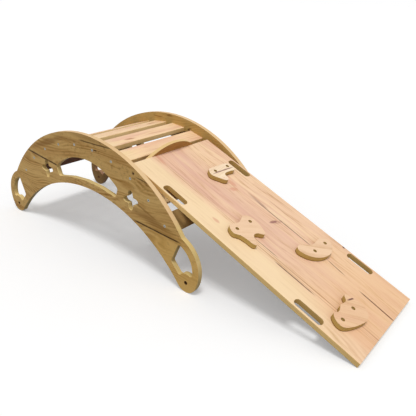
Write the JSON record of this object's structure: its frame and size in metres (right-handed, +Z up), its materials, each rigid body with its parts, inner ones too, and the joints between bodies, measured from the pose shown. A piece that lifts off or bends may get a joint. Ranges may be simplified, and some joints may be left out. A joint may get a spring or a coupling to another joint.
{
  "type": "wooden rocker arch with ramp",
  "caption": "Children's wooden climbing arch that rocks when turned over, with slats between two cut-out side boards and a lift-off climbing ramp with holds.",
  "frame": {"origin": "on the floor, in the middle of the footprint of arch and ramp together", "axes": "+X along the arch towards the ramp's foot, +Y across it from the near panel to the far one, +Z up"},
  "size_m": [1.6186, 0.466, 0.441],
  "materials": {
    "panel_board": "oak-look board with pale edge banding, satin",
    "slat_board": "pale oak-look board, satin",
    "ramp_board": "pale oak-look board, satin",
    "hold_board": "pale oak-look board with darker edge, satin",
    "dowel": "plain beech, matt",
    "screw": "zinc-plated"
  },
  "bodies": {
    "arch": {"side_panel_near": "panel_board", "side_panel_far": "panel_board", "slat_01": "slat_board", "slat_02": "slat_board", "slat_03": "slat_board", "slat_04": "slat_board", "slat_05": "slat_board", "slat_06": "slat_board", "slat_07": "slat_board", "slat_08": "slat_board", "slat_09": "slat_board", "slat_10": "slat_board", "panel_screws_near": "screw", "panel_screws_far": "screw", "slat_dowels_near": "dowel", "slat_dowels_far": "dowel"},
    "ramp": {"ramp_board": "ramp_board", "ramp_hook_board": "panel_board", "hook_screws": "screw", "hook_dowels": "dowel", "hold_fish_small": "hold_board", "hold_fish_large": "hold_board", "hold_half_moon": "hold_board", "hold_apple": "hold_board", "hold_screws": "screw"}
  },
  "joints": [
    {"name": "ramp_lift", "type": "slide", "parent": "arch", "child": "ramp", "axis": [0.3884, 0, 0.9215], "range_m": [0, 0.12]}
  ]
}
